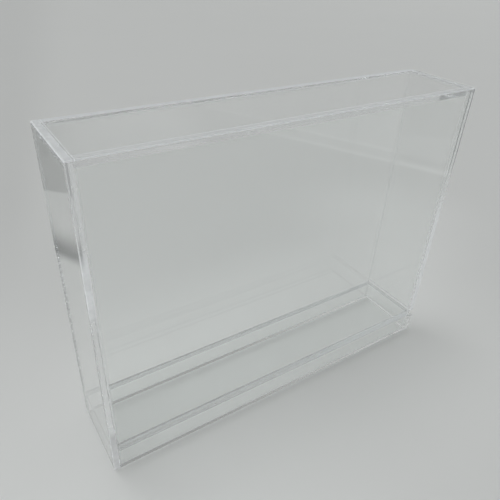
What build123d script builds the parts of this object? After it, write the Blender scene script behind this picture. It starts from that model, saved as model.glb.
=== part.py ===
from build123d import *
import os

# A clear display case for one boxed video game. Four walls and a top are welded from acrylic sheet, open
# below, and the base is a loose sheet that slides along grooves near the foot of the front and back walls.
# The origin is the middle of the footprint, on the surface that the case stands on. +X runs along the
# length, towards the end where the base slides out, +Y to the back and +Z up. Sizes are in millimetres.

# Driving sizes of the whole case
case_length = 196.0
case_depth = 41.0
case_height = 152.5

# Sheet thicknesses
wall_sheet = 3.6
top_sheet = 3.6
base_sheet = 3.6

# The base's grooves, and how freely the base runs in them
foot_height = 11.0
groove_depth = 2.0
groove_play = 0.3
edge_play = 0.3
stop_play = 0.3

# The flat that polishing leaves along each free edge
edge_break = 0.4

# Places worked out from the driving sizes
end_x = case_length / 2
front_y = -case_depth / 2
wall_inner_x = end_x - wall_sheet
wall_inner_y = front_y + wall_sheet
long_wall_length = case_length - 2 * wall_sheet
space_depth = case_depth - 2 * wall_sheet
groove_height = base_sheet + 2 * groove_play
groove_top = foot_height + groove_height
groove_end_y = wall_inner_y - groove_depth
upper_end_height = case_height - groove_top

# The front wall stands between the two end panels. Its section has the groove on the inside.
with BuildPart() as front_panel:
    with BuildSketch(Plane.YZ.offset(-long_wall_length / 2)):
        with BuildLine():
            Polyline(
                (front_y, 0),
                (wall_inner_y, 0),
                (wall_inner_y, foot_height),
                (groove_end_y, foot_height),
                (groove_end_y, groove_top),
                (wall_inner_y, groove_top),
                (wall_inner_y, case_height),
                (front_y, case_height),
                close=True,
            )
        make_face()
    extrude(amount=long_wall_length)
    outer_face = front_panel.faces().sort_by(Axis.Y)[0]
    chamfer(outer_face.edges().filter_by(Axis.X), edge_break)
front_panel.part.label = "front_panel"

# The back wall is the front wall's mirror image.
with BuildPart() as back_panel:
    mirror(front_panel.part, about=Plane.XZ)
back_panel.part.label = "back_panel"

# The left end panel covers the ends of the front and back walls, down to the surface, and stops the base.
with BuildPart() as left_end_panel:
    with BuildSketch(Plane.YZ.offset(-end_x)):
        with Locations((0, case_height / 2)):
            Rectangle(case_depth, case_height)
    extrude(amount=wall_sheet)
    welded_face = left_end_panel.faces().sort_by(Axis.X)[-1]
    free_edges = [edge for edge in left_end_panel.edges() if edge not in welded_face.edges()]
    chamfer(free_edges, edge_break)
left_end_panel.part.label = "left_end_panel"

# The right end panel ends above the base, so that the base can slide out under it.
with BuildPart() as right_end_panel:
    with BuildSketch(Plane.YZ.offset(wall_inner_x)):
        with Locations((0, groove_top + upper_end_height / 2)):
            Rectangle(case_depth, upper_end_height)
    extrude(amount=wall_sheet)
    welded_face = right_end_panel.faces().sort_by(Axis.X)[0]
    free_edges = [edge for edge in right_end_panel.edges() if edge not in welded_face.edges()]
    chamfer(free_edges, edge_break)
right_end_panel.part.label = "right_end_panel"

# A low strip closes the right end below the base and ties the feet of the front and back walls.
with BuildPart() as right_foot_strip:
    with BuildSketch(Plane.YZ.offset(wall_inner_x)):
        with Locations((0, foot_height / 2)):
            Rectangle(case_depth, foot_height)
    extrude(amount=wall_sheet)
    welded_face = right_foot_strip.faces().sort_by(Axis.X)[0]
    free_edges = [edge for edge in right_foot_strip.edges() if edge not in welded_face.edges()]
    chamfer(free_edges, edge_break)
right_foot_strip.part.label = "right_foot_strip"

# The top is let in between the four walls, flush with their upper edges.
with BuildPart() as top_panel:
    with BuildSketch(Plane.XY.offset(case_height - top_sheet)):
        Rectangle(long_wall_length, space_depth)
    extrude(amount=top_sheet)
top_panel.part.label = "top_panel"

# The base runs in both grooves, from just short of the left end panel to the right end panel's outer face.
base_start_x = -wall_inner_x + stop_play
base_length = end_x - base_start_x
base_width = 2 * (-groove_end_y - edge_play)
with BuildPart() as base_slide:
    with BuildSketch(Plane.XY.offset(foot_height + groove_play)):
        with Locations((base_start_x + base_length / 2, 0)):
            Rectangle(base_length, base_width)
    extrude(amount=base_sheet)
    chamfer(base_slide.edges(), edge_break)
base_slide.part.label = "base_slide"

os.makedirs("parts", exist_ok=True)
export_step(front_panel.part, "parts/front_panel.step")
export_step(back_panel.part, "parts/back_panel.step")
export_step(left_end_panel.part, "parts/left_end_panel.step")
export_step(right_end_panel.part, "parts/right_end_panel.step")
export_step(right_foot_strip.part, "parts/right_foot_strip.step")
export_step(top_panel.part, "parts/top_panel.step")
export_step(base_slide.part, "parts/base_slide.step")
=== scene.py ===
import bpy
import numpy as np
from mathutils import Euler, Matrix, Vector


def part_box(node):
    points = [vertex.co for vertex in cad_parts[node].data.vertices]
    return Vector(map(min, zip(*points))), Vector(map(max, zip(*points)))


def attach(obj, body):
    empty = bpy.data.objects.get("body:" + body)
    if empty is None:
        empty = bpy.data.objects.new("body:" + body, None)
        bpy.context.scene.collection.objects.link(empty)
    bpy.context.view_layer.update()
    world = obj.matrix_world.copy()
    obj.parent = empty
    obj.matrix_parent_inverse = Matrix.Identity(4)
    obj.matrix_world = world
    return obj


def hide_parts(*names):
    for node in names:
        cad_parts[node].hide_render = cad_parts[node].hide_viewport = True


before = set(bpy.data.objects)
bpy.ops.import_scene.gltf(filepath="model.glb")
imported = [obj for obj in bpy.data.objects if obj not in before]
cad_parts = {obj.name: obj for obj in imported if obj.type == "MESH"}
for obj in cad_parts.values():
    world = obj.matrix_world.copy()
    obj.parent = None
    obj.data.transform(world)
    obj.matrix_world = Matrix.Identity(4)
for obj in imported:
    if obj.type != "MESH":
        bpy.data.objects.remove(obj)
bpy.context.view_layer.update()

# A clear acrylic display case on a pale board. Lengths are in metres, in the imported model's frame: +X along
# the case, +Y to its back, +Z up, with the origin in the middle of the footprint on the floor.

MM = 0.001

# Places of the sheets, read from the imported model
front_low, front_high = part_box("front_panel")
back_low, back_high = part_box("back_panel")
left_low, left_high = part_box("left_end_panel")
right_low, right_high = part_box("right_end_panel")
strip_low, strip_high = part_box("right_foot_strip")
top_low, top_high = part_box("top_panel")
base_low, base_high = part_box("base_slide")

# What the sheets share: their heights, and the grooves' depth, which leaves the base's edges some play
EDGE_PLAY = 0.3 * MM
case_height = front_high.z
foot_height = strip_high.z
groove_top = right_low.z
groove_end = base_high.y + EDGE_PLAY
top_under = top_low.z

# How the free edges are rounded by polishing
EDGE_RADIUS = 0.45 * MM
BASE_RADIUS = 0.40 * MM
ROUND_STEPS = 4

# How finely lengths are told apart: digits of a grid line, slack round a region, and the least divisor
GRID_DIGITS = 9
REGION_SLACK = 1e-6
LEAST_LENGTH = 1e-12

# The camera, at the photograph's viewing angle: its focal length is in pixels, its sensor in millimetres
CAMERA_PLACE = (-0.12993, -0.16685, 0.21431)
CAMERA_TURN = (0.9967, -0.0443, -0.5751)
PICTURE_SIDE = 500
FOCAL_PIXELS = 505.26
SENSOR = 36.0

# The clear acrylic, with faint smears and ripples, and the film that it is to lamps
ACRYLIC_TINT = (0.985, 0.993, 0.990, 1.0)
ACRYLIC_IOR = 1.49
SMEAR_STRETCH = (1.0, 1.0, 2.2)
SMEAR_SCALE = 34.0
SMEAR_LEVELS = (0.56, 0.78)
SMEAR_ROUGHNESS = 0.03
RIPPLE_SCALE = 22.0
RIPPLE_HEIGHT = 0.2 * MM
FILM_TINT = (0.9925, 0.9965, 0.995, 1.0)
SLANT_POWER = 5.0
SLANT_SHARE = 0.4

# The matt white that sawing and milling leave, also used for painted highlights, and the painted shade of a
# dark line beside a seam
FROST_COLOUR = (0.85, 0.87, 0.89, 1.0)
PAINTED_SHADE_COLOUR = (0.12, 0.13, 0.13, 1.0)
MATT_ROUGHNESS = 0.6
FROST_GLOW = 0.35

# The solvent weld, and the small voids in it
WELD_TINT = (0.995, 0.997, 0.996, 1.0)
WELD_MILKINESS = 0.1
VOID_COLOUR = (0.9, 0.92, 0.92, 1.0)
VOID_ROUGHNESS = 0.08
VOID_STRETCH = (0.45, 1.0, 0.45)
VOID_SCALE = 420.0
VOID_LEVELS = (0.66, 0.70)
VOID_SHARE = 0.15

# How frosted the sawn top edges are, from 0, clear, to 1, white, and how that differs from part to part.
# The arris shares are painted highlights: pale lines of matt white along the rounded arrises
TOP_FROST = 0.45
LEFT_FROST = 0.4
LEFT_ARRIS_HIGHLIGHT = 0.3
LEFT_SEAM_FROST = 0.3
BACK_FROST = 0.35
FRONT_CLEARER = 0.1
FRONT_ARRIS_HIGHLIGHT = 0.3
FRONT_SEAM_FROST = 0.25
MOTTLE_SCALE = 160.0
MOTTLE_LEVELS = (0.3, 0.7)
MOTTLE_DEPTH = 0.3

# Strips of the sawn edges, as distances from the faces and arrises that they follow
SHEET_STRIP = 1.0 * MM
LEFT_STRIP = (-1.0 * MM, -0.8 * MM)
TOP_STRIP = (-0.6 * MM, -0.45 * MM)
LEFT_ARRIS = (0.3 * MM, 0.6 * MM)
LEFT_SEAM = -0.2 * MM
LEFT_SEAM_WIDTHS = (0.1 * MM, 0.3 * MM)
FRONT_ARRIS = (0.3 * MM, 0.7 * MM)
FRONT_SEAM = -0.3 * MM
FRONT_SEAM_WIDTHS = (0.2 * MM, 0.5 * MM)

# How frosted the sawn upright edges are, with stretches of painted highlight up them, and the heights
# between which each stretch starts and fades
UPRIGHT_FROST = 0.06
FOOT_HIGHLIGHT = 0.5
FOOT_FADES = (0.0, 60 * MM)
GLINT_HIGHLIGHT = 0.75
MIDDLE_STARTS = (84 * MM, 96 * MM)
MIDDLE_FADES = (112 * MM, 124 * MM)
NEAR_TOP_HIGHLIGHT = 0.22
HIGH_STARTS = (112 * MM, 130 * MM)
LOWER_HIGHLIGHT = 0.62
LOWER_FADES = (80 * MM, 100 * MM)

# The two dark lines of painted shade down the right upright edge: their middle past its seam, and how far
# from it each lies
DARK_MIDDLE = 1.65 * MM
DARK_APART = 1.25 * MM
DARK_WIDTHS = (0.15 * MM, 0.45 * MM)
DARK_STARTS = (90 * MM, 120 * MM)
DARK_SHARE = 0.7

# How frosted the milled grooves are, with painted light that makes them paler towards the right end, and the
# places along the case between which that grows
GROOVE_FROST = 0.08
GROOVE_PAINTED_LIGHT = 0.45
GROOVE_GROWS = (-0.02, 0.08)

# The board that is the floor
FLOOR_COLOUR = (0.619, 0.630, 0.623)
FLOOR_ROUGHNESS = 0.9
FLOOR_LEVEL = 0.99
FLOOR_MOTTLE = 0.02
FLOOR_MOTTLE_SCALE = 6.0
FLOOR_REACH = 12.0
FLOOR_RINGS = 12
FLOOR_SPOKES = 48
FLOOR_GAP = 0.05 * MM

# Painted pools of light and painted shade on the floor
NEAR_GLOW = 0.22
NEAR_PLACE = (-0.12, -0.07)
NEAR_REACH = 0.25
RIGHT_GLOW = 0.09
RIGHT_PLACE = (0.12, -0.09)
RIGHT_REACH = 0.12
SPOT_GLOW = 0.11
SPOT_PLACE = (0.20, 0.10)
SPOT_REACH = 0.11
FAR_GLOW = 0.05
FAR_GROWS = (0.3, 2.0)
GATHERED_GLOW = 0.16
GATHERED_PLACE = (0.055, 0.02)
GATHERED_REACH = (0.19, 0.11)
GATHERED_FADES = (0.3, 1.0)
GATHERED_FRONT = (-0.024, -0.016)
GATHERED_WIDENS = 0.9
SHADE_DEPTH = 0.07
SHADE_START = -0.14
SHADE_SLOPES = (0.20, 0.33)
SHADE_NEAREST = 0.1
SHADE_GROWS = (0.1, 0.3)

# Painted reflections, what the floor shows after 1 to 5 mirrors: a grey stretch, a dark band and a bright
# stretch with an edge
MIRROR_COUNTS = (0.5, 5.5)
GREY_TONE = 0.57
GREY_LINE = 0.427
GREY_EDGE = 0.004
GREY_FADES = (0.8, 0.9)
BAND_TONE = 0.2
BAND_PLACE = (-0.1295, 0.171)
BAND_WAY = (-0.89, 0.45)
BAND_STARTS = (-0.009, 0.001)
BAND_FADES = (0.0, 0.036)
PATCH_GLOW = 0.28
PATCH_PLACE = (0.214, -0.361)
PATCH_WAY = (0.885, -0.465)
PATCH_STARTS = (-0.004, 0.006)
PATCH_EDGE_GLOW = 0.4
PATCH_EDGE_PLACE = 0.006
PATCH_EDGE_WIDTHS = (0.001, 0.009)

# The room's soft light, how far along a way each part of it starts, and the pale backdrop
ROOM_COLOUR = (0.99, 1.0, 0.995, 1.0)
BACKDROP_LEVEL = 0.49
HORIZON_LEVEL = 0.48
UPPER_LEVEL = 0.56
UPPER_STARTS = (0.3, 0.55)
ZENITH_LEVEL = 1.0
ZENITH_STARTS = (0.965, 0.985)
DIM_WAY = (0.12, 0.72, 0.68)
DIM_STARTS = (0.85, 0.98)
DIM_SHARE = 0.42
LOW_WAY = (0.315, 0.865, 0.391)
LOW_STARTS = (0.985, 0.998)
LOW_LEVEL = 0.12
FRONT_SHARE = 0.8
FRONT_FADES = (-0.75, -0.1)

# The two lamps, and how often light may bounce in the sheets
KEY_WAY = (0.08, -0.30, -0.951)
KEY_SPREAD = 0.3
KEY_POWER = 0.72
FILL_WAY = (0.70, 0.70, -0.10)
FILL_SPREAD = 0.4
FILL_POWER = 2.3
LIGHT_BOUNCES = 96


class Value:
    """One value of a material. Python's operators on it add the Math nodes that work it out."""

    def __init__(self, shades, socket):
        self.shades = shades
        self.socket = socket

    def __add__(self, other):
        return self.shades.maths("ADD", self, other)

    def __sub__(self, other):
        return self.shades.maths("SUBTRACT", self, other)

    def __rsub__(self, other):
        return self.shades.maths("SUBTRACT", other, self)

    def __mul__(self, other):
        return self.shades.maths("MULTIPLY", self, other)

    __radd__ = __add__
    __rmul__ = __mul__

    def __truediv__(self, other):
        return self.shades.maths("DIVIDE", self, other)

    def __pow__(self, other):
        return self.shades.maths("POWER", self, other)

    def __gt__(self, other):
        return self.shades.maths("GREATER_THAN", self, other)

    def __lt__(self, other):
        return self.shades.maths("LESS_THAN", self, other)

    def __abs__(self):
        return self.shades.maths("ABSOLUTE", self)

    def larger(self, other):
        return self.shades.maths("MAXIMUM", self, other)

    def smaller(self, other):
        return self.shades.maths("MINIMUM", self, other)


class Shades:
    """The nodes of one material or of the world."""

    def __init__(self, owner):
        owner.use_nodes = True
        self.tree = owner.node_tree
        self.tree.nodes.clear()

    def node(self, kind, settings=None, *inputs, **named):
        """Adds a node, sets it up, fills its sockets in order or by name, and gives its outputs as values.
        An underscore stands for a space in a socket's name."""
        made = self.tree.nodes.new(kind)
        for name, setting in (settings or {}).items():
            setattr(made, name, setting)
        named = {name.replace("_", " "): value for name, value in named.items()}
        for place, value in [*enumerate(inputs), *named.items()]:
            if isinstance(value, Value):
                self.tree.links.new(value.socket, made.inputs[place])
            else:
                made.inputs[place].default_value = value
        return [Value(self, socket) for socket in made.outputs if socket.enabled]

    def outputs(self, kind, **named):
        """Adds a node, and gives its outputs by their names."""
        return {value.socket.name: value for value in self.node(kind, **named)}

    def maths(self, operation, *values):
        return self.node("ShaderNodeMath", {"operation": operation}, *values)[0]

    def place(self):
        """Object coordinates of the point that is shaded."""
        return self.outputs("ShaderNodeTexCoord")["Object"]

    def parts(self, vector):
        return self.node("ShaderNodeSeparateXYZ", None, vector)

    def stretched(self, place, scale):
        return self.node("ShaderNodeMapping", {"vector_type": "POINT"}, Vector=place, Scale=scale)[0]

    def noise(self, place, scale, detail=2.0, roughness=0.5):
        return self.node("ShaderNodeTexNoise", Vector=place, Scale=scale, Detail=detail,
                         Roughness=roughness)[0]

    def rise(self, value, low, high):
        """Rises smoothly from 0 to 1 as the value goes from low to high."""
        settings = {"interpolation_type": "SMOOTHSTEP"}
        return self.node("ShaderNodeMapRange", settings, value, low, high, 0.0, 1.0)[0]

    def fall(self, value, low, high):
        """Falls smoothly from 1 to 0 as the value goes from low to high."""
        return 1.0 - self.rise(value, low, high)

    def line(self, offset, half_width, half_reach):
        """1 where the offset is under half the width either way, and 0 past half the reach."""
        return self.fall(abs(offset), half_width, half_reach)

    def rays(self):
        """What is known of the ray that is shaded, by name."""
        return self.outputs("ShaderNodeLightPath")

    def from_lamps(self):
        """1 for a lamp's light and light from rough surfaces, and 0 for the eye, mirrors and clear sheets."""
        rays = self.rays()
        return rays["Is Shadow Ray"].larger(rays["Is Diffuse Ray"])

    def mix(self, factor, first, second):
        return self.node("ShaderNodeMixShader", None, factor, first, second)[0]

    def finish(self, shader):
        self.node("ShaderNodeOutputMaterial", None, shader)


def distance(across, back):
    """The length of a step along the floor, from its two parts."""
    return (across * across + back * back) ** 0.5


def along(way, fixed):
    """How far a way of three parts goes along a fixed one: the sum of the products of their parts."""
    return way[0] * fixed[0] + way[1] * fixed[1] + way[2] * fixed[2]


def past_line(across, back, place, way):
    """How far a point of the floor lies past the line through a place, measured along a way."""
    return (across - place[0]) * way[0] + (back - place[1]) * way[1]


def clear_acrylic(name, roughness, wave, turned, frost=None):
    """Clear acrylic: glass to the eye, and a faint film to lamps and to light from rough surfaces, which
    turns a share of that light aside. frost gives the share of a point that is matt white, in places as
    painted light, and the share of that which is a dark line of painted shade."""
    material = bpy.data.materials.new(name)
    shades = Shades(material)
    place = shades.place()
    smear = shades.noise(shades.stretched(place, SMEAR_STRETCH), SMEAR_SCALE, detail=5.0, roughness=0.62)
    haze = shades.rise(smear, *SMEAR_LEVELS)
    ripple = shades.noise(place, RIPPLE_SCALE, detail=1.0)
    bump = shades.node("ShaderNodeBump", Strength=wave, Distance=RIPPLE_HEIGHT, Height=ripple)[0]
    seen = shades.node("ShaderNodeBsdfPrincipled", Base_Color=ACRYLIC_TINT, IOR=ACRYLIC_IOR,
                       Transmission_Weight=1.0, Roughness=roughness + haze * SMEAR_ROUGHNESS, Normal=bump)[0]
    if frost is not None:
        share, dark = frost(shades, place)
        seen = shades.mix(share, seen, frosted_shader(shades, dark))
    facing = shades.outputs("ShaderNodeLayerWeight", Blend=0.5)["Facing"]
    through = shades.node("ShaderNodeBsdfTransparent", Color=FILM_TINT)[0]
    mirror = shades.node("ShaderNodeBsdfAnisotropic", Roughness=0.0)[0]
    film = shades.mix(facing ** SLANT_POWER * SLANT_SHARE + turned, through, mirror)
    shades.finish(shades.mix(shades.from_lamps(), seen, film))
    return material


def frosted_shader(shades, dark):
    """Matt white that lets some light through, and a dark line of painted shade in it where dark isn't None.
    """
    matt = shades.node("ShaderNodeBsdfPrincipled", Base_Color=FROST_COLOUR, Roughness=MATT_ROUGHNESS)[0]
    glow = shades.node("ShaderNodeBsdfTranslucent", Color=FROST_COLOUR)[0]
    frosted = shades.mix(FROST_GLOW, matt, glow)
    if dark is None:
        return frosted
    line = shades.node("ShaderNodeBsdfPrincipled", Base_Color=PAINTED_SHADE_COLOUR, Roughness=MATT_ROUGHNESS)[0]
    return shades.mix(dark, frosted, line)


def sawn_frost_and_highlights(shades, place):
    """How frosted the sheets' sawn edges are, with painted highlights, and how dark a line of painted
    shade is. Every top edge is pale: the left end panel's and the back wall's most of all, but for a clearer
    line beside the left one's seam, and the front wall's least, but for its arris and its seam. The pale
    lines along the front and left arrises are painted highlights. The left upright edge is pale at its
    foot and about two thirds up, and a little near its top. The right one is pale in its lower part, with
    two dark lines in its upper part. Those pale stretches up the upright edges are painted highlights on a
    faint frost, and the two dark lines are painted shade."""
    across, back, height = shades.parts(place)
    left = shades.fall(across - left_high.x, *LEFT_STRIP)
    right = shades.rise(across - right_low.x, -SHEET_STRIP, 0.0)
    front = shades.fall(back - front_high.y, 0.0, SHEET_STRIP)
    rear = shades.rise(back - back_low.y, -SHEET_STRIP, 0.0)
    top = shades.rise(height - case_height, *TOP_STRIP)

    # The front arris's pale line is a painted highlight
    front_arris = shades.fall(back - front_low.y, *FRONT_ARRIS)
    front_seam = shades.line(back - front_high.y - FRONT_SEAM, *FRONT_SEAM_WIDTHS)
    front_frost_and_highlight = front_arris * FRONT_ARRIS_HIGHLIGHT + front_seam * FRONT_SEAM_FROST - FRONT_CLEARER
    long_frost_and_highlight = (1.0 - left) * (rear * BACK_FROST + front * front_frost_and_highlight)
    # The left arris's pale line is a painted highlight
    left_arris = shades.fall(across - left_low.x, *LEFT_ARRIS)
    left_seam = shades.line(across - left_high.x - LEFT_SEAM, *LEFT_SEAM_WIDTHS)
    left_frost_and_highlight = left * LEFT_FROST + left_arris * LEFT_ARRIS_HIGHLIGHT + left_seam * LEFT_SEAM_FROST
    top_frost_and_highlights = left_frost_and_highlight + long_frost_and_highlight + TOP_FROST

    # Stretches of painted highlight up the upright edges, in matt white on a faint frost
    foot = shades.fall(height, *FOOT_FADES)
    middle = shades.rise(height, *MIDDLE_STARTS) * shades.fall(height, *MIDDLE_FADES)
    high = shades.rise(height, *HIGH_STARTS)
    lower = shades.fall(height, *LOWER_FADES)
    left_upright = left * (foot * FOOT_HIGHLIGHT + middle * GLINT_HIGHLIGHT + high * NEAR_TOP_HIGHLIGHT)
    upright_frost_and_highlights = left_upright + right * lower * LOWER_HIGHLIGHT + UPRIGHT_FROST

    mottle = shades.rise(shades.noise(place, MOTTLE_SCALE), *MOTTLE_LEVELS)
    mottle = mottle * MOTTLE_DEPTH + (1.0 - MOTTLE_DEPTH)
    mottle = mottle + (1.0 - mottle) * (front + rear) * (1.0 - left)
    pale = (top * top_frost_and_highlights + (1.0 - top) * upright_frost_and_highlights) * mottle
    # Painted shade: two dark lines down the upper part of the right upright edge
    lines = shades.line(abs(across - right_low.x - DARK_MIDDLE) - DARK_APART, *DARK_WIDTHS)
    dark = right * (1.0 - top) * lines * shades.rise(height, *DARK_STARTS)
    return (pale + dark * DARK_SHARE).smaller(1.0), dark


def milled_frost_and_painted_light(shades, place):
    """How frosted the grooves are by the cutter: a little at the left, more towards the slot's end, where the
    rise is painted light. No line in them is dark."""
    across, _, _ = shades.parts(place)
    # Painted light: the grooves grow paler towards the slot's end
    return shades.rise(across, *GROOVE_GROWS) * GROOVE_PAINTED_LIGHT + GROOVE_FROST, None


def weld_seam(name):
    """The solvent weld inside a seam: a little milky, with small voids that mirror the light. To lamps it is
    clear."""
    material = bpy.data.materials.new(name)
    shades = Shades(material)
    stretched = shades.stretched(shades.place(), VOID_STRETCH)
    void = shades.rise(shades.noise(stretched, VOID_SCALE, detail=3.0, roughness=0.6), *VOID_LEVELS)
    seen = 1.0 - shades.from_lamps()
    through = shades.node("ShaderNodeBsdfTransparent", Color=WELD_TINT)[0]
    white = shades.node("ShaderNodeBsdfTranslucent", Color=FROST_COLOUR)[0]
    mirror = shades.node("ShaderNodeBsdfAnisotropic", Color=VOID_COLOUR, Roughness=VOID_ROUGHNESS)[0]
    milky = shades.mix(seen * WELD_MILKINESS, through, white)
    shades.finish(shades.mix(void * seen * VOID_SHARE, milky, mirror))
    return material


# The finishes of every sheet, in the order of its material slots
POLISHED, WELDED, MILLED, SAWN = range(4)
finishes = [
    clear_acrylic("polished_acrylic", roughness=0.0, wave=0.05, turned=0.02),
    weld_seam("solvent_weld"),
    clear_acrylic("milled_groove", roughness=0.22, wave=0.1, turned=0.4, frost=milled_frost_and_painted_light),
    clear_acrylic("sawn_edge", roughness=0.08, wave=0.1, turned=0.3, frost=sawn_frost_and_highlights),
]


def add_mesh(name, points, faces, materials, slots):
    """Makes a mesh object at the origin from points, faces and each face's material."""
    mesh = bpy.data.meshes.new(name)
    mesh.from_pydata(points.tolist(), [], faces)
    for material in materials:
        mesh.materials.append(material)
    mesh.polygons.foreach_set("material_index", np.array(slots, np.int32))
    mesh.update()
    thing = bpy.data.objects.new(name, mesh)
    bpy.context.scene.collection.objects.link(thing)
    return thing


def side_lines(low, high, radius, free_low, free_high, seams):
    """Grid lines along one axis: the two ends, the seams, and by each free end the steps of its rounding,
    spaced by the tangent of equal angles."""
    steps = radius * np.tan(np.linspace(0.0, np.pi / 4, ROUND_STEPS + 1))
    near = low + radius - steps if free_low else []
    far = high - radius + steps if free_high else []
    crossing = [seam for seam in seams if low < seam < high]
    return np.unique(np.round([low, high, *near, *far, *crossing], GRID_DIGITS))


def rounded_block(low, high, radius, free, seams):
    """A block whose free sides have rounded edges. Each of its six sides is a grid over two axes. A grid
    point p has a nearest point c in the block shrunk by the radius on its free sides, and d = p - c. The
    surface is c + d times the largest part of d over the length of d. free holds, for each axis, whether
    the low and the high side are free. Returns points, quads and each quad's middle on the plain block."""
    lines = [side_lines(low[a], high[a], radius, *free[a], seams[a]) for a in range(3)]
    grids, quads, start = [], [], 0
    for axis in range(3):
        one, two = (axis + 1) % 3, (axis + 2) % 3
        for side in (0, -1):
            first, second = np.meshgrid(lines[one], lines[two], indexing="ij")
            grid = np.empty((first.size, 3))
            grid[:, axis] = lines[axis][side]
            grid[:, one] = first.ravel()
            grid[:, two] = second.ravel()
            number = start + np.arange(first.size).reshape(first.shape)
            corners = (number[:-1, :-1], number[1:, :-1], number[1:, 1:], number[:-1, 1:])
            quad = np.stack(corners, -1).reshape(-1, 4)
            quads.append(quad if side else quad[:, ::-1])
            grids.append(grid)
            start += first.size
    points, place = np.unique(np.vstack(grids), axis=0, return_inverse=True)
    quads = place.ravel()[np.vstack(quads)]
    middles = points[quads].mean(axis=1)
    shrink = np.array([[radius * free[a][0], -radius * free[a][1]] for a in range(3)])
    core = np.clip(points, np.array(low) + shrink[:, 0], np.array(high) + shrink[:, 1])
    out = points - core
    length = np.maximum(np.linalg.norm(out, axis=1), LEAST_LENGTH)
    points = core + out * (np.abs(out).max(axis=1) / length)[:, None]
    return points, quads, middles


def inside(middles, low, high):
    """Which of the quads lie in a region, given by its lowest and highest corner."""
    above = middles > np.array(low) - REGION_SLACK
    below = middles < np.array(high) + REGION_SLACK
    return np.all(above & below, axis=1)


def add_block(name, low, high, radius, free, welds=(), seams=((), (), ()), cuts=()):
    """A rounded block, polished but for its welds and its sawn cuts, which are given as regions."""
    points, quads, middles = rounded_block(low, high, radius, free, seams)
    slots = np.full(len(quads), POLISHED)
    for cut in cuts:
        slots[inside(middles, *cut)] = SAWN
    for weld in welds:
        slots[inside(middles, *weld)] = WELDED
    return add_mesh(name, points, quads.tolist(), finishes, slots)


def add_grooved_wall(name, turn):
    """The front wall's section carried along X; turn is -1 for the front wall and 1 for the back wall. The
    section runs from the foot's inner corner round the outside, over the top and in round the groove, with
    quarter circles on the two outer edges. Each stretch of it has the finish of the sides that start at its
    points. The ends are cut at the groove's height, because the slot leaves that part free."""
    outer, inner, end = front_low.y, front_high.y, -groove_end
    turns = np.linspace(0.0, np.pi / 2, 2 * ROUND_STEPS + 1)
    low_arc = np.stack((outer + EDGE_RADIUS * (1 - np.sin(turns)), EDGE_RADIUS * (1 - np.cos(turns))), 1)
    high_arc = np.stack((low_arc[::-1, 0], case_height - low_arc[::-1, 1]), 1)
    stretches = [
        ([(inner, 0.0)], POLISHED),
        (low_arc, POLISHED),
        ([(outer, foot_height), (outer, groove_top)], POLISHED),
        (high_arc, SAWN),
        ([(inner, case_height)], WELDED),
        ([(inner, top_under)], POLISHED),
        ([(inner, groove_top), (end, groove_top), (end, foot_height)], MILLED),
        ([(inner, foot_height)], POLISHED),
    ]
    section = np.vstack([stretch for stretch, _ in stretches])
    slots = [slot for stretch, slot in stretches for _ in stretch]
    count = len(section)
    points = np.empty((2, count, 3))
    points[0, :, 0], points[1, :, 0] = front_low.x, front_high.x
    points[:, :, 1] = -turn * section[:, 0]
    points[:, :, 2] = section[:, 1]

    here = np.arange(count)
    after = (here + 1) % count
    faces = np.stack((here, after, after + count, here + count), 1).tolist()
    foot_outer = 1 + len(low_arc)
    slot_outer = foot_outer + 1
    groove_up, groove_down, foot_inner = range(count - 3, count)
    foot_cap = [*range(foot_outer + 1), groove_down, foot_inner]
    slot_cap = [foot_outer, slot_outer, groove_up, groove_down]
    upper_cap = [*range(slot_outer, groove_up + 1)]
    for shift, order, slot_finish in ((0, -1, WELDED), (count, 1, POLISHED)):
        faces += [[corner + shift for corner in cap[::order]] for cap in (foot_cap, slot_cap, upper_cap)]
        slots += [WELDED, slot_finish, WELDED]
    if turn < 0:
        faces = [face[::-1] for face in faces]
    return add_mesh(name, points.reshape(-1, 3), faces, finishes, slots)


def end_welds(x, low, high):
    """Where the long walls and the top meet an end panel's inner face at x, between two heights. At the
    groove, only a wall's outer part meets it."""
    regions = [((x, -groove_end, top_under), (x, groove_end, high))] if high > top_under else []
    walls = ((front_low.y, front_high.y, -groove_end), (back_high.y, back_low.y, groove_end))
    for outer, inner, groove in walls:
        part_low, part_high = sorted((outer, groove))
        whole_low, whole_high = sorted((outer, inner))
        regions.append(((x, part_low, low), (x, part_high, high)))
        regions.append(((x, whole_low, low), (x, whole_high, min(high, foot_height))))
        regions.append(((x, whole_low, max(low, groove_top)), (x, whole_high, high)))
    return regions


def rim_welds(low, high):
    """The four sides of the top, which meet the four walls."""
    return [(low, (low.x, high.y, high.z)), ((high.x, low.y, low.z), high),
            (low, (high.x, low.y, high.z)), ((low.x, high.y, low.z), high)]


def end_cuts(low, high):
    """An end panel's sawn edges: its top and front faces with their arrises. Its other edges are polished."""
    return [((low.x, low.y, high.z - EDGE_RADIUS), high), (low, (high.x, low.y + EDGE_RADIUS, high.z))]


def add_piece(thing, body):
    """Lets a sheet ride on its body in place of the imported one."""
    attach(thing, body)
    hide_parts(thing.name.replace("_acrylic", ""))


# Which of the low and high sides along an axis are free, and where the walls' faces cross the end panels
BOTH, LOW, HIGH, NONE = (True, True), (True, False), (False, True), (False, False)
end_seams = ((), (-groove_end, front_high.y, back_low.y, groove_end), (foot_height, groove_top, top_under))

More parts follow.
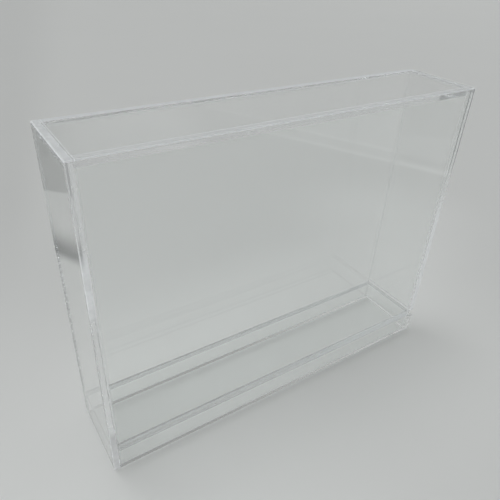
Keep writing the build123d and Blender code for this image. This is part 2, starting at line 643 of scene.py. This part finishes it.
case_pieces = [
    add_grooved_wall("front_panel_acrylic", -1),
    add_grooved_wall("back_panel_acrylic", 1),
    add_block("left_end_panel_acrylic", left_low, left_high, EDGE_RADIUS, (LOW, BOTH, BOTH),
              end_welds(left_high.x, 0.0, case_height), end_seams, end_cuts(left_low, left_high)),
    add_block("right_end_panel_acrylic", right_low, right_high, EDGE_RADIUS, (HIGH, BOTH, BOTH),
              end_welds(right_low.x, groove_top, case_height), end_seams, end_cuts(right_low, right_high)),
    add_block("right_foot_strip_acrylic", strip_low, strip_high, EDGE_RADIUS, (HIGH, BOTH, BOTH),
              end_welds(strip_low.x, 0.0, foot_height), end_seams),
    add_block("top_panel_acrylic", top_low, top_high, EDGE_RADIUS, (NONE, NONE, NONE),
              rim_welds(top_low, top_high)),
]
base_piece = add_block("base_slide_acrylic", base_low, base_high, BASE_RADIUS, (BOTH, BOTH, BOTH))
for piece in case_pieces:
    add_piece(piece, "case")
add_piece(base_piece, "base")


def painted_floor_light(shades, place):
    """How pale the floor is, as a share of its colour, with painted pools of light and painted shade. It is
    paler round three places and far to the right, and inside and behind the case, as painted light that the
    sheets would gather: that stretch is an oval, cut off along the front wall, and the cut softens past the
    case's right end. A wedge far back at the left is darker, as painted shade."""
    across, back, _ = shades.parts(place)
    mottle = shades.noise(place, FLOOR_MOTTLE_SCALE, detail=3.0)

    def pool(middle, reach):
        """A soft round stretch, 1 at its middle and 0 at its reach."""
        return shades.fall(distance(across - middle[0], back - middle[1]), 0.0, reach)

    # Painted light inside and behind the case
    long = (across - GATHERED_PLACE[0]) * (1.0 / GATHERED_REACH[0])
    deep = (back - GATHERED_PLACE[1]) * (1.0 / GATHERED_REACH[1])
    beside = (across - right_high.x).larger(0.0) * GATHERED_WIDENS
    behind_front = shades.rise(back, GATHERED_FRONT[0] - beside, GATHERED_FRONT[1] + beside)
    gathered = shades.fall(distance(long, deep), *GATHERED_FADES) * behind_front
    # Painted shade: a darker wedge far back at the left
    wedge = shades.fall((across - SHADE_START) / back.larger(SHADE_NEAREST), *SHADE_SLOPES)
    shade = wedge * shades.rise(back, *SHADE_GROWS)
    # Painted pools of light round three places and far to the right
    glow = pool(NEAR_PLACE, NEAR_REACH) * NEAR_GLOW + shades.rise(across, *FAR_GROWS) * FAR_GLOW
    glow = glow + gathered * GATHERED_GLOW + pool(RIGHT_PLACE, RIGHT_REACH) * RIGHT_GLOW
    glow = glow + mottle * FLOOR_MOTTLE + FLOOR_LEVEL
    return glow - shade * SHADE_DEPTH + pool(SPOT_PLACE, SPOT_REACH) * SPOT_GLOW


def painted_reflection_tone(shades, place):
    """Painted reflections that only the case's mirrors show: what the floor's colour is multiplied by for
    rays that a few mirrors have turned, a grey stretch past a slanting line, a soft dark band across it, and
    a bright stretch in front with a brighter edge."""
    across, back, _ = shades.parts(place)
    mirrors = shades.rays()["Glossy Depth"]
    few = (mirrors > MIRROR_COUNTS[0]) * (mirrors < MIRROR_COUNTS[1])
    # Painted reflections: the grey stretch, the dark band and the bright stretch
    grey = shades.rise(back - across - GREY_LINE, -GREY_EDGE, GREY_EDGE) * shades.fall(back, *GREY_FADES)
    past_band = past_line(across, back, BAND_PLACE, BAND_WAY)
    fade = shades.fall(past_band, *BAND_FADES)
    band = shades.rise(past_band, *BAND_STARTS) * fade * fade
    past_patch = past_line(across, back, PATCH_PLACE, PATCH_WAY)
    edge = shades.line(past_patch - PATCH_EDGE_PLACE, *PATCH_EDGE_WIDTHS)
    patch = shades.rise(past_patch, *PATCH_STARTS) * PATCH_GLOW + edge * PATCH_EDGE_GLOW
    dimmed = (1.0 - few * grey * (1.0 - GREY_TONE)) * (1.0 - few * band * (1.0 - BAND_TONE))
    return dimmed * (few * patch + 1.0)


def floor_paint():
    """A matt pale board, whose tone changes softly from place to place, with painted pools of light and
    shade, and painted reflections that only mirrors show.
    """
    material = bpy.data.materials.new("pale_board")
    shades = Shades(material)
    place = shades.place()
    tone = painted_floor_light(shades, place) * painted_reflection_tone(shades, place)
    colour = shades.node("ShaderNodeVectorMath", {"operation": "SCALE"}, FLOOR_COLOUR, Scale=tone)[0]
    board = shades.node("ShaderNodeBsdfPrincipled", Base_Color=colour, Roughness=FLOOR_ROUGHNESS)[0]
    shades.finish(board)
    return material


def add_floor():
    """The floor: a level board, its points on rings that widen by equal steps round the origin."""
    rings = np.linspace(0.0, FLOOR_REACH, FLOOR_RINGS + 1)[1:]
    turns = np.linspace(0.0, 2 * np.pi, FLOOR_SPOKES, endpoint=False)
    points = np.zeros((1 + FLOOR_RINGS * FLOOR_SPOKES, 3))
    points[1:, 0] = np.outer(rings, np.cos(turns)).ravel()
    points[1:, 1] = np.outer(rings, np.sin(turns)).ravel()
    points[:, 2] = -FLOOR_GAP
    number = 1 + np.arange(FLOOR_RINGS * FLOOR_SPOKES).reshape(FLOOR_RINGS, FLOOR_SPOKES)
    after = np.roll(number, -1, axis=1)
    middle = np.stack((np.zeros(FLOOR_SPOKES, int), number[0], after[0]), -1)
    quads = np.stack((number[:-1], number[1:], after[1:], after[:-1]), -1).reshape(-1, 4)
    faces = middle.tolist() + quads.tolist()
    board = add_mesh("pale_floor", points, faces, [floor_paint()], np.zeros(len(faces), int))


def light_dome():
    """Soft light from all round. Its level rises from the horizon up, with a bright soft box overhead and a
    small brighter patch low at the back; it is lower on the front side and in a soft patch high at the back.
    The eye sees a plain pale backdrop in its place, also straight through the sheets."""
    world = bpy.data.worlds.new("soft_room")
    bpy.context.scene.world = world
    shades = Shades(world)
    way = shades.parts(shades.outputs("ShaderNodeTexCoord")["Generated"])
    _, back, height = way
    upper = shades.rise(height, *UPPER_STARTS) * (UPPER_LEVEL - HORIZON_LEVEL)
    zenith = shades.rise(height, *ZENITH_STARTS) * ZENITH_LEVEL
    dim = shades.rise(along(way, DIM_WAY), *DIM_STARTS) * DIM_SHARE
    low = shades.rise(along(way, LOW_WAY), *LOW_STARTS) * LOW_LEVEL
    front = shades.fall(back, *FRONT_FADES) * FRONT_SHARE
    level = (upper + HORIZON_LEVEL) * (1.0 - dim) * (1.0 - front) + zenith + low
    rays = shades.rays()
    unmirrored = rays["Glossy Depth"] < MIRROR_COUNTS[0]
    seen = rays["Is Camera Ray"] + rays["Is Transmission Ray"] * unmirrored
    level = level * (1.0 - seen) + seen * BACKDROP_LEVEL
    sky = shades.node("ShaderNodeBackground", None, ROOM_COLOUR, level)[0]
    shades.node("ShaderNodeOutputWorld", None, sky)


def add_lamp(name, way, spread, power):
    """A wide, far lamp. Mirrors and clear sheets don't show it."""
    lamp = bpy.data.lights.new(name, "SUN")
    lamp.angle = spread
    lamp.energy = power
    holder = bpy.data.objects.new(name, lamp)
    bpy.context.scene.collection.objects.link(holder)
    holder.rotation_euler = Vector(way).to_track_quat("-Z", "Y").to_euler()
    holder.visible_glossy = False
    holder.visible_transmission = False


def add_camera():
    """A camera whose focal length is given in the picture's pixels."""
    camera = bpy.data.cameras.new("camera")
    camera.sensor_width = SENSOR
    camera.lens = FOCAL_PIXELS / PICTURE_SIDE * SENSOR
    camera.clip_start = MM
    holder = bpy.data.objects.new("camera", camera)
    bpy.context.scene.collection.objects.link(holder)
    holder.location = CAMERA_PLACE
    holder.rotation_euler = Euler(CAMERA_TURN, "XYZ")
    bpy.context.scene.camera = holder


add_floor()
light_dome()
add_lamp("key", KEY_WAY, KEY_SPREAD, KEY_POWER)
add_lamp("fill", FILL_WAY, FILL_SPREAD, FILL_POWER)
add_camera()

scene = bpy.context.scene
scene.view_settings.view_transform = "Standard"
scene.cycles.max_bounces = LIGHT_BOUNCES
scene.cycles.transmission_bounces = LIGHT_BOUNCES
scene.cycles.glossy_bounces = LIGHT_BOUNCES
scene.cycles.transparent_max_bounces = LIGHT_BOUNCES
